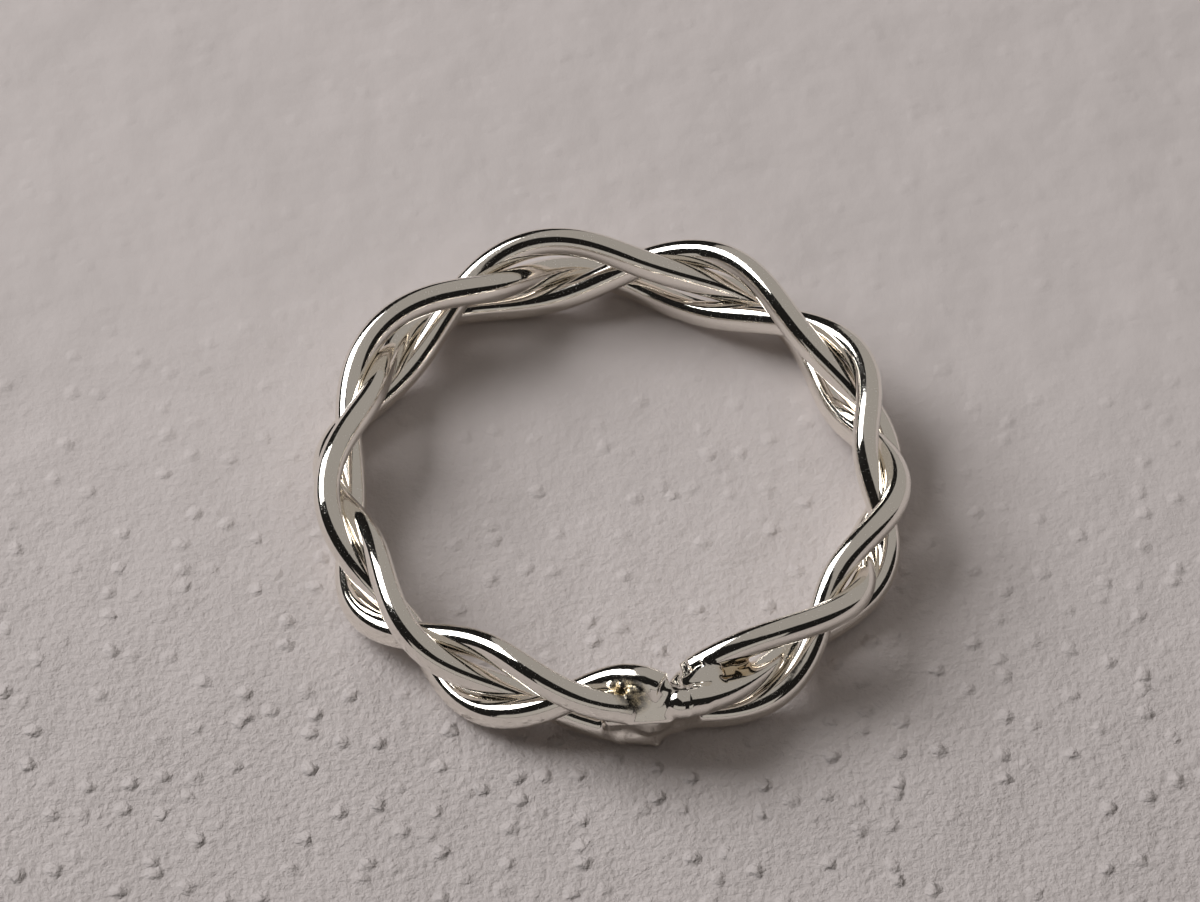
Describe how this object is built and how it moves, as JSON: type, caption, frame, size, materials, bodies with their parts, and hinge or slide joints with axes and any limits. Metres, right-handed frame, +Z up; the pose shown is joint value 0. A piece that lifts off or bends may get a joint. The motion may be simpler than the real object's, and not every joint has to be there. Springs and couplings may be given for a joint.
{
  "type": "braided finger ring",
  "caption": "Finger ring of flattened wires plaited as a flat braid and bent round, their cut ends joined at the front by a rough lump of solder; lies on its side",
  "frame": {"origin": "middle of the ring on the surface it lies on", "axes": "+Z up along the finger hollow; -Y towards the solder joint at the front; +X to the right of it"},
  "size_m": [0.0218, 0.0217, 0.0038],
  "materials": {
    "silver_wire": "polished silver",
    "silver_solder": "rough silver solder"
  },
  "bodies": {
    "root": {"strand_one": "silver_wire", "strand_two": "silver_wire", "strand_three": "silver_wire", "solder_joint": "silver_solder"}
  },
  "joints": []
}
